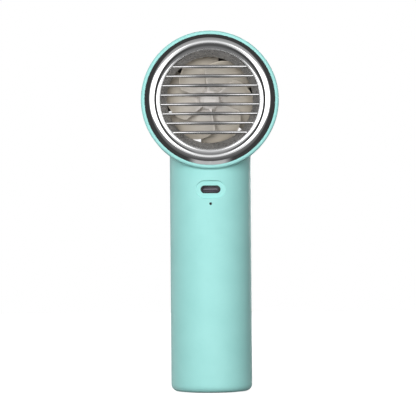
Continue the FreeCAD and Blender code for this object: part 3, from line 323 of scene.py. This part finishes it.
def makeFinish(name, spec):
    material = bpy.data.materials.new(name + "_finish")
    material.use_nodes = True
    tree = material.node_tree
    shader = tree.nodes["Principled BSDF"]
    coords = addNode(tree, "TexCoord").outputs["Object"]
    lighter = noiseAt(tree, coords, spec["toneSize"])
    colour = ramp(tree, lighter, [(0.3, spec["tones"][0]), (0.7, spec["tones"][1])])
    if "specks" in spec:  # fine darker flecks in the moulding
        size, strength = spec["specks"]
        flecks = remap(tree, noiseAt(tree, coords, size, 2.0, 0.7), 0.62, 0.74, 0.0, strength)
        darker = addNode(tree, "Mix", multiplied, {0: flecks, 6: colour})
        darker.inputs[7].default_value = (0.25, 0.25, 0.25, 1)
        colour = darker.outputs[2]
    if "paintedShadeByRadius" in spec:  # painted shade: colour darkened by distance from the fan's axis
        reach = spec["paintedShadeByRadius"][-1][0]
        share = calc(tree, "DIVIDE", aroundFan(tree, coords)[0], reach * mm)
        shade = ramp(tree, share, [(radius / reach, tone) for radius, tone in spec["paintedShadeByRadius"]])
        toned = addNode(tree, "Mix", multiplied, {0: 1.0, 6: colour, 7: shade})
        colour = toned.outputs[2]
    tree.links.new(colour, shader.inputs["Base Color"])
    low, high = spec["rough"]
    patches = remap(tree, noiseAt(tree, coords, spec["roughSize"], 4.0), 0.3, 0.7, low, high)
    tree.links.new(patches, shader.inputs["Roughness"])
    shader.inputs["Metallic"].default_value = spec.get("metal", 0)
    for socket, value in spec.get("sockets", {}).items():
        shader.inputs[socket].default_value = value

    reliefs = [(noiseAt(tree, coords, spec["grain"][0], 2.0), spec["grain"][1])]
    if "swell" in spec:
        reliefs.append((noiseAt(tree, coords, spec["swell"][0], 1.0), spec["swell"][1]))
    if "brushed" in spec:
        lines = addNode(tree, "TexNoise", inputs={"Vector": stretched(tree, coords, spec["brushed"][0]),
                                                  "Scale": 1.0, "Detail": 2.0})
        reliefs.append((lines.outputs[0], spec["brushed"][1]))
    if "turned" in spec:  # fine rings round the fan's axis
        pitch, depth = spec["turned"]
        radius, y = aroundFan(tree, coords)
        spread = addNode(tree, "CombineXYZ", inputs={0: radius, 1: calc(tree, "MULTIPLY", y, 0.6)})
        lines = addNode(tree, "TexNoise", {"noise_dimensions": "2D"},
                        {"Vector": spread.outputs[0], "Scale": 1 / (pitch * mm), "Detail": 2.0})
        reliefs.append((lines.outputs[0], depth))
    if "weave" in spec:
        pitch, depth = spec["weave"]
        waves = []
        for axis in ("X", "Z"):
            wave = addNode(tree, "TexWave", {"bands_direction": axis},
                           {"Vector": coords, "Scale": wavePitch / (pitch * mm), "Distortion": 0.6})
            waves.append(wave.outputs[1])
        reliefs.append((calc(tree, "MULTIPLY", *waves), depth))
    if "layers" in spec:
        pitch, depth = spec["layers"]
        wave = addNode(tree, "TexWave", {"bands_direction": "Y"},
                       {"Vector": coords, "Scale": wavePitch / (pitch * mm), "Distortion": 0.3})
        reliefs.append((wave.outputs[1], depth))
    if "cells" in spec:
        size, depth = spec["cells"]
        cells = addNode(tree, "TexVoronoi", inputs={"Vector": coords, "Scale": 1 / (size * mm)})
        reliefs.append((cells.outputs[0], depth))
    normal = None
    for relief, depth in reliefs:
        bump = addNode(tree, "Bump", inputs={"Height": relief, "Distance": depth * micron, "Strength": 1.0})
        if normal:
            tree.links.new(normal, bump.inputs["Normal"])
        normal = bump.outputs[0]
    tree.links.new(normal, shader.inputs["Normal"])
    return material


finish = {name: makeFinish(name, spec) for name, spec in finishes.items()}
for node in nodes.values():
    slotName = node.material_slots[0].material.name
    node.material_slots[0].material = finish[slotName]
print("finishes ready:", len(finish))


# ---- mesh helpers; outlines are in millimetres
def aboutLevelAxis(radius, along, angle, height):
    return Vector((radius * math.cos(angle), along, radius * math.sin(angle))) * mm + Vector((0, 0, height))


def aboutFanAxis(radius, along, angle):
    return aboutLevelAxis(radius, along, angle, axisHeight)


def gridMesh(rows, closed, name):
    mesh = bmesh.new()
    placed = [[mesh.verts.new(point) for point in row] for row in rows]
    count = len(placed[0])
    pairs = list(zip(placed, placed[1:]))
    if closed:
        pairs.append((placed[-1], placed[0]))
    for one, other in pairs:
        for i in range(count):
            j = (i + 1) % count
            mesh.faces.new((one[i], one[j], other[j], other[i]))
    return cleanMesh(mesh, name)


def cleanMesh(mesh, name, sharp=38):
    bmesh.ops.remove_doubles(mesh, verts=mesh.verts, dist=0.2 * micron)
    bmesh.ops.recalc_face_normals(mesh, faces=mesh.faces)
    data = bpy.data.meshes.new(name)
    mesh.to_mesh(data)
    mesh.free()
    data.shade_smooth()
    data.set_sharp_from_angle(angle=math.radians(sharp))
    made = bpy.data.objects.new(name, data)
    scene.collection.objects.link(made)
    return made


def lathe(name, outline, place=aboutFanAxis, closed=True, steps=224):
    rows = []
    for radius, along in outline:
        rows.append([place(radius, along, math.tau * i / steps) for i in range(steps)])
    return gridMesh(rows, closed, name)


def softCorners(corners, degrees=10, closed=True):
    # each corner is (radius, along, rounding)
    points = []
    count = len(corners)
    for i, (r, a, rounding) in enumerate(corners):
        here = Vector((r, a))
        if not rounding or (not closed and i in (0, count - 1)):
            points.append((r, a))
            continue
        before = (Vector(corners[i - 1][:2]) - here).normalized()
        after = (Vector(corners[(i + 1) % count][:2]) - here).normalized()
        half = before.angle(after) / 2
        start = here + before * (rounding / math.tan(half))
        centre = here + (before + after).normalized() * (rounding / math.sin(half))
        turn = (start - centre).angle_signed(here + after * (rounding / math.tan(half)) - centre)
        steps = max(2, round(abs(math.degrees(turn)) / degrees))
        for k in range(steps + 1):
            swing = -turn * k / steps
            arm = start - centre
            points.append((centre.x + arm.x * math.cos(swing) - arm.y * math.sin(swing),
                           centre.y + arm.x * math.sin(swing) + arm.y * math.cos(swing)))
    return points


def fit(made, body, slotName, *replaced, look=None):
    made.data.materials.append(finish[look or slotName])
    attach(made, body)
    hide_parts(*replaced)
    return made


# ---- bezels: the outline is walked from the outer foot inwards, by runs and bends
bezel = {
    "foot": 0.8,  # below the drum face
    "moves": [(0.95,), (0.2, 46), (2.3,), (0.3, 26), (4.4, 0), (6.2, -7), (0.93, -35), (0.25,), (2.0, -16),
              (3.2, -10), (7.0, -4), (0.3, -90)],
    "step": 0.2,  # from the inner lip down to the face
    "spigot": (25.3, 26.3),
    "spigotEnd": 2.2,
}


def walkOutline(start, tilt, moves, step=3.0):
    # a run is (length,), a bend is (radius, new tilt); tilt 90 goes straight out of the drum, 0 goes inwards
    r, h = start
    points = [(r, h)]
    for move in moves:
        turn = math.radians(tilt)
        if len(move) == 1:
            r -= move[0] * math.cos(turn)
            h += move[0] * math.sin(turn)
            points.append((r, h))
            continue
        radius, newTilt = move
        way = -1 if newTilt < tilt else 1
        count = max(3, round(abs(newTilt - tilt) / step))
        fromR, fromH = r, h
        for k in range(1, count + 1):
            angle = math.radians(tilt + (newTilt - tilt) * k / count)
            r = fromR - way * radius * (math.sin(angle) - math.sin(turn))
            h = fromH - way * radius * (math.cos(angle) - math.cos(turn))
            points.append((r, h))
        tilt = newTilt
    return points


def makeBezel(side, nodeName, name):
    low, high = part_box(nodeName)
    outer = (high.x - low.x) / 2 / mm
    crest = max(-low.y, high.y) / mm - faceDepth
    walked = walkOutline((outer, -bezel["foot"]), 90, bezel["moves"])
    tallest = max(h for r, h in walked)
    outline = [(r, h * crest / tallest if h > 0 else h) for r, h in walked]
    inner = outline[-1][0]
    spigotIn, spigotOut = bezel["spigot"]
    step, end, foot = bezel["step"], -bezel["spigotEnd"], -bezel["foot"]
    outline += [(inner, step), (inner + step, 0), (spigotIn, 0), (spigotIn, end), (spigotOut, end),
                (spigotOut, foot)]
    made = lathe(name, [(r, side * (faceDepth + h)) for r, h in outline], steps=256)
    return fit(made, "housing", "chrome_trim", nodeName)


makeBezel(-1, "rear_bezel", "rearBezelRing")
makeBezel(1, "front_bezel", "frontBezelRing")
print("bezels ready")


# ---- grille: a ring with eight arched bars, thickest at their middles
grille = {
    "ringOuter": 25.2, "ringInner": 23.1, "sink": 0.1, "depth": 2.0, "ringExtra": 0.2,
    "bars": 8, "pitch": 4.4, "middleHeight": 1.65, "endHeight": 0.95, "bow": 1.1, "endRadius": 24.3,
    "crownSteps": 10, "slices": 48, "barShort": 0.1,
    "flatShare": 0.60, "crownDrop": 0.30, "edgeDrop": 0.55,  # all shares of a bar's half height
    "backEdge": [(1, 0.25), (0.88, 0.06), (0.7, 0)],  # share of half height, height above the back
}


def makeGrilleRing(side, nodeName, name):
    face = faceDepth - grille["sink"]
    back = face - grille["depth"] - grille["ringExtra"]
    corners = [(grille["ringOuter"], back, 0.1), (grille["ringOuter"], face, 0.15),
               (grille["ringInner"], face, 0.45), (grille["ringInner"], back, 0.1)]
    made = lathe(name, [(r, side * h) for r, h in softCorners(corners)])
    return fit(made, "housing", "chrome_inner", nodeName)


def barSection():
    # share of half height, and how far below the crown in half heights
    front = []
    steps, flat = grille["crownSteps"], grille["flatShare"]
    for k in range(-steps, steps + 1):
        u = math.sin(math.pi / 2 * k / steps)
        edge = max(0.0, (abs(u) - flat) / (1 - flat))
        rounded = 1 - math.sqrt(max(0.0, 1 - edge * edge))
        front.append((u, grille["crownDrop"] * u * u + grille["edgeDrop"] * rounded))
    return front


def makeBars(side, nodeName, name):
    section = barSection()
    slices = grille["slices"]
    mesh = bmesh.new()
    face = faceDepth - grille["sink"]
    for i in range(grille["bars"]):
        offset = (i - (grille["bars"] - 1) / 2) * grille["pitch"]
        reach = math.sqrt(grille["endRadius"] ** 2 - (abs(offset) + grille["endHeight"] / 2) ** 2)
        rows = []
        for k in range(slices + 1):
            x = -reach * math.cos(math.pi * k / slices)
            share = 1 - (x / reach) ** 2
            half = (grille["endHeight"] + (grille["middleHeight"] - grille["endHeight"]) * share) / 2
            crown = face - grille["bow"] * (x / grille["ringInner"]) ** 2
            back = face - grille["depth"] + grille["barShort"]
            loop = [(u * half, crown - drop * half) for u, drop in section]
            loop += [(half * share, back + rise) for share, rise in grille["backEdge"]]
            loop += [(-half * share, back + rise) for share, rise in reversed(grille["backEdge"])]
            row = []
            for z, y in loop:
                row.append(mesh.verts.new(Vector((x, side * y, z + offset)) * mm + Vector((0, 0, axisHeight))))
            rows.append(row)
        count = len(rows[0])
        for one, other in zip(rows, rows[1:]):
            for j in range(count):
                mesh.faces.new((one[j], one[(j + 1) % count], other[(j + 1) % count], other[j]))
        mesh.faces.new(rows[0])
        mesh.faces.new(rows[-1])
    made = cleanMesh(mesh, name)
    return fit(made, "housing", "chrome_inner", nodeName, look="bar_chrome")


makeGrilleRing(-1, "rear_grille_ring", "rearGrilleRing")
makeGrilleRing(1, "front_grille_ring", "frontGrilleRing")
makeBars(-1, "rear_grille_bars", "rearGrilleBars")
makeBars(1, "front_grille_bars", "frontGrilleBars")
print("grilles ready")


# ---- funnels between grille and duct
funnel = {
    "mouth": 23.1, "throat": 20.0, "depth": 5.1, "flange": 26.2, "flangeThick": 1.0, "wall": 1.25,
    "lipHeight": 0.5, "lipFlare": 0.12, "endFlare": 0.25,
}


def makeFunnel(side, nodeName, name):
    low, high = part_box(nodeName)
    near = max(-low.y, high.y) / mm
    far = near - funnel["depth"]
    under = near - funnel["flangeThick"]
    mouth, throat, wall, flange = (funnel[key] for key in ("mouth", "throat", "wall", "flange"))
    corners = [(mouth, near, 0.12), (throat + funnel["lipFlare"], far + funnel["lipHeight"], 1.0),
               (throat + funnel["endFlare"], far, 0.22), (throat + wall, far, 0.2),
               (mouth + wall, under, 0.3), (flange, under, 0.1), (flange, near, 0.1)]
    made = lathe(name, [(r, side * h) for r, h in softCorners(corners)])
    return fit(made, "housing", "chrome_inner", nodeName, look="funnel_grey")


makeFunnel(-1, "inlet_funnel", "inletFunnel")
makeFunnel(1, "outlet_funnel", "outletFunnel")
print("funnels ready")


# ---- impeller: turned hub with six swept blades that thin towards their edges and flare into the hub
impeller = {
    "blades": 6, "phase": 40.5, "tipRadius": 21.8, "depth": 10.0, "span": 88.0, "spanLoss": 6, "tipSweep": 49.6,
    "sweepStart": 0.65, "sweepPower": 1.4, "noseRadius": 4.4, "hubRadius": 8.0, "hubPower": 1.2, "hubWall": 1.1,
    "thick": 0.95, "boss": 2.4, "bore": 0.75, "across": 34, "along": 30, "spread": 1.25,
    "flatStart": 0.06, "flatDepth": 0.86, "flatLoss": 0.12, "camber": 0.05, "cornerLift": 0.05,
    "leadingRound": 0.07, "trailingRound": 0.05, "tipRound": 0.035,  # shares of the blade
    "flare": 0.9, "flareFade": 26,
}


def hubRadiusAt(share):
    nose, hub = impeller["noseRadius"], impeller["hubRadius"]
    return nose + (hub - nose) * share ** impeller["hubPower"]


def bladePoint(spanShare, chordShare, start):
    depthShare = 0.04 + 0.9 * chordShare
    root = hubRadiusAt(depthShare) - impeller["hubWall"] * 0.5
    radius = root + (impeller["tipRadius"] - root) * spanShare
    x = radius / impeller["tipRadius"]
    corner = max(0.0, (x - impeller["sweepStart"]) / (1 - impeller["sweepStart"]))
    leading = impeller["tipSweep"] * corner ** impeller["sweepPower"]
    trailing = impeller["span"] - impeller["spanLoss"] * x * x
    turn = math.radians(impeller["phase"] - leading - (trailing - leading) * chordShare)
    flat = impeller["flatStart"] + (impeller["flatDepth"] - impeller["flatLoss"] * x) * chordShare
    flat += impeller["camber"] * math.sin(math.pi * chordShare)
    along = start + impeller["depth"] * (flat + impeller["cornerLift"] * corner)
    return Vector((radius * math.cos(turn), along, radius * math.sin(turn)))


def roundedEdge(fromEdge, reach):
    return math.sqrt(max(0.0, 1 - (1 - min(1.0, fromEdge / reach)) ** 2))


def bladeHalfThickness(spanShare, chordShare):
    leadingEdge = roundedEdge(chordShare, impeller["leadingRound"])
    trailingEdge = roundedEdge(1 - chordShare, impeller["trailingRound"])
    tip = roundedEdge(1 - spanShare, impeller["tipRound"])
    body = impeller["thick"] * (0.52 - 0.20 * chordShare) * (1.1 - 0.35 * spanShare)
    flare = impeller["flare"] * math.exp(-spanShare * impeller["flareFade"])
    return (body + flare) * leadingEdge * trailingEdge * tip


def makeBlade(index, start):
    step = 0.004
    acrossCount, alongCount = impeller["across"], impeller["along"]
    nearRows, farRows = [], []
    for i in range(acrossCount + 1):
        s = 1 - (1 - i / acrossCount) ** impeller["spread"]
        near, far = [], []
        for j in range(alongCount + 1):
            c = (1 - math.cos(math.pi * j / alongCount)) / 2
            here = bladePoint(s, c, start)
            outwards = bladePoint(min(1, s + step), c, start) - bladePoint(max(0, s - step), c, start)
            backwards = bladePoint(s, min(1, c + step), start) - bladePoint(s, max(0, c - step), start)
            normal = outwards.cross(backwards).normalized()
            half = bladeHalfThickness(s, c) if i else 0.0
            near.append(here + normal * half)
            far.append(here - normal * half)
        nearRows.append(near)
        farRows.append(far)
    mesh = bmesh.new()
    swing = math.tau * index / impeller["blades"]
    for rows in (nearRows, farRows):
        placed = []
        for row in rows:
            line = []
            for p in row:
                x = p.x * math.cos(swing) - p.z * math.sin(swing)
                z = p.x * math.sin(swing) + p.z * math.cos(swing)
                line.append(mesh.verts.new(Vector((x, p.y, z)) * mm + Vector((0, 0, axisHeight))))
            placed.append(line)
        for one, other in zip(placed, placed[1:]):
            for j in range(alongCount):
                mesh.faces.new((one[j], one[j + 1], other[j + 1], other[j]))
    return cleanMesh(mesh, f"blade{index}", 60)


def joinSolid(base, other):
    union = base.modifiers.new("join", "BOOLEAN")
    union.operation = "UNION"
    union.solver = "EXACT"
    union.object = other
    result = bpy.data.meshes.new_from_object(base.evaluated_get(bpy.context.evaluated_depsgraph_get()))
    base.modifiers.clear()
    base.data = result
    bpy.data.objects.remove(other)


def makeImpeller():
    low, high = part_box("impeller")
    start = low.y / mm
    end = start + impeller["depth"]
    nose, hub, wall = impeller["noseRadius"], impeller["hubRadius"], impeller["hubWall"]
    boss, bore = impeller["boss"], impeller["bore"]
    bossEnd, boreEnd = end - 1.2, start + 1.6
    outside = [(0, start, 0), (nose * 0.62, start, 1.2), (nose, start + 0.8, 1.2),
               (hubRadiusAt(0.5), start + 5.0, 6.0), (hub, end, 0.2)]
    inside = [(hub - wall, end, 0.2), (hubRadiusAt(0.55) - wall, start + 6.2, 2.0),
              (nose - wall * 0.6, start + 3.0, 0.4), (boss, start + 2.6, 0.2), (boss, bossEnd, 0.2),
              (bore, bossEnd, 0.1), (bore, boreEnd, 0.1), (0, boreEnd, 0)]
    made = lathe("fanImpeller", softCorners(outside + inside, closed=False), closed=False, steps=144)
    for index in range(impeller["blades"]):
        joinSolid(made, makeBlade(index, start))
    made.data.shade_smooth()
    made.data.set_sharp_from_angle(angle=math.radians(50))
    return fit(made, "rotor", "beige_blades", "impeller")


makeImpeller()
print("impeller ready")


# ---- push button, its collar and the foot pad; each is turned about its own axis
collarLow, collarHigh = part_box("button_ring")
buttonHeight = (collarLow.z + collarHigh.z) / 2
button = {
    "cap": 6.4, "dish": 0.45, "rim": 0.5, "stem": 1.7, "stemLength": 0.8, "flange": 0.8,
    "dishRadius": 0.6, "dishDepth": 0.75,  # shares of the rim and the dish where it levels out
    "collarBore": 6.6, "collarRound": 0.4,
}


def aboutButtonAxis(radius, along, angle):
    return aboutLevelAxis(radius, along, angle, buttonHeight)


def aboutHandleAxis(radius, along, angle):
    return Vector((radius * math.cos(angle), radius * math.sin(angle), along)) * mm


def makeButton():
    low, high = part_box("power_button")
    stemEnd, face = low.y / mm, high.y / mm
    flangeRadius = (high.x - low.x) / 2 / mm
    back = stemEnd + button["stemLength"]
    front = back + button["flange"]
    cap, rim = button["cap"], button["cap"] - button["rim"]
    stem, dish = button["stem"], button["dish"]
    corners = [(0, stemEnd, 0), (stem, stemEnd, 0.15), (stem, back, 0.1), (flangeRadius, back, 0.1),
               (flangeRadius, front, 0.15), (cap, front, 0.1), (cap, face - dish, 0.25), (rim, face, 0.3),
               (rim * button["dishRadius"], face - dish * button["dishDepth"], 3.0), (0, face - dish, 0)]
    made = lathe("powerButtonCap", softCorners(corners, closed=False), aboutButtonAxis, closed=False, steps=128)
    return fit(made, "button", "mint_plastic", "power_button")


def makeCollar():
    outer = (collarHigh.x - collarLow.x) / 2 / mm
    seat, face = collarLow.y / mm, collarHigh.y / mm
    bore, soft = button["collarBore"], button["collarRound"]
    corners = [(bore, seat, 0.05), (bore, face, soft), (outer, face, soft), (outer, seat, 0.05)]
    made = lathe("buttonCollar", softCorners(corners), aboutButtonAxis, steps=160)
    return fit(made, "housing", "chrome_trim", "button_ring")


footPad = {
    "grooves": (4.0, 7.0, 10.0), "grooveWidth": 0.9, "grooveDepth": 0.3, "grooveSlope": 0.15, "edge": 0.3,
}


def makeFootPad():
    low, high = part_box("base_pad")
    radius, top, bottom = high.x / mm, high.z / mm, low.z / mm
    half, slope = footPad["grooveWidth"] / 2, footPad["grooveSlope"]
    roof = bottom + footPad["grooveDepth"]
    corners = [(0, bottom, 0)]
    for middle in footPad["grooves"]:
        corners += [(middle - half, bottom, 0.06), (middle - half + slope, roof, 0.06),
                    (middle + half - slope, roof, 0.06), (middle + half, bottom, 0.06)]
    corners += [(radius, bottom, footPad["edge"]), (radius, top, 0.05), (0, top, 0)]
    made = lathe("footPad", softCorners(corners, closed=False), aboutHandleAxis, closed=False, steps=160)
    return fit(made, "housing", "rubber_foot", "base_pad")


makeButton()
makeCollar()
makeFootPad()
print("button, collar and foot ready")


# ---- floor: a wide paper disc that only the camera sees
floorSizes = {
    "radius": 1.2, "rings": 24, "steps": 96, "glow": 0.87, "fibre": 900.0,
    "tones": [(0.3, (0.49, 0.49, 0.49)), (0.7, (0.51, 0.51, 0.51))],
}


def makeFloor():
    mesh = bmesh.new()
    steps = floorSizes["steps"]
    rings = []
    for i in range(floorSizes["rings"] + 1):
        radius = floorSizes["radius"] * (i / floorSizes["rings"]) ** 2
        angles = [math.tau * k / steps for k in range(steps)]
        rings.append([mesh.verts.new((radius * math.cos(a), radius * math.sin(a), 0)) for a in angles])
    for one, other in zip(rings, rings[1:]):
        for k in range(steps):
            j = (k + 1) % steps
            mesh.faces.new((one[k], one[j], other[j], other[k]))
    bmesh.ops.remove_doubles(mesh, verts=mesh.verts, dist=micron)
    bmesh.ops.recalc_face_normals(mesh, faces=mesh.faces)
    data = bpy.data.meshes.new("studioFloor")
    mesh.to_mesh(data)
    mesh.free()
    floor = bpy.data.objects.new("studioFloor", data)
    scene.collection.objects.link(floor)
    material = bpy.data.materials.new("paper_floor")
    material.use_nodes = True
    tree = material.node_tree
    tree.nodes.clear()
    coords = addNode(tree, "TexCoord").outputs["Object"]
    fibre = addNode(tree, "TexNoise", inputs={"Vector": coords, "Scale": floorSizes["fibre"], "Detail": 3.0})
    tone = ramp(tree, fibre.outputs[0], floorSizes["tones"])
    paper = addNode(tree, "BsdfDiffuse", inputs={"Color": tone})
    glow = addNode(tree, "Emission", inputs={"Strength": floorSizes["glow"]})
    both = addNode(tree, "AddShader", inputs={0: paper.outputs[0], 1: glow.outputs[0]})
    addNode(tree, "OutputMaterial", inputs={0: both.outputs[0]})
    data.materials.append(material)
    floor.visible_diffuse = False
    floor.visible_glossy = False


makeFloor()
print("floor ready")
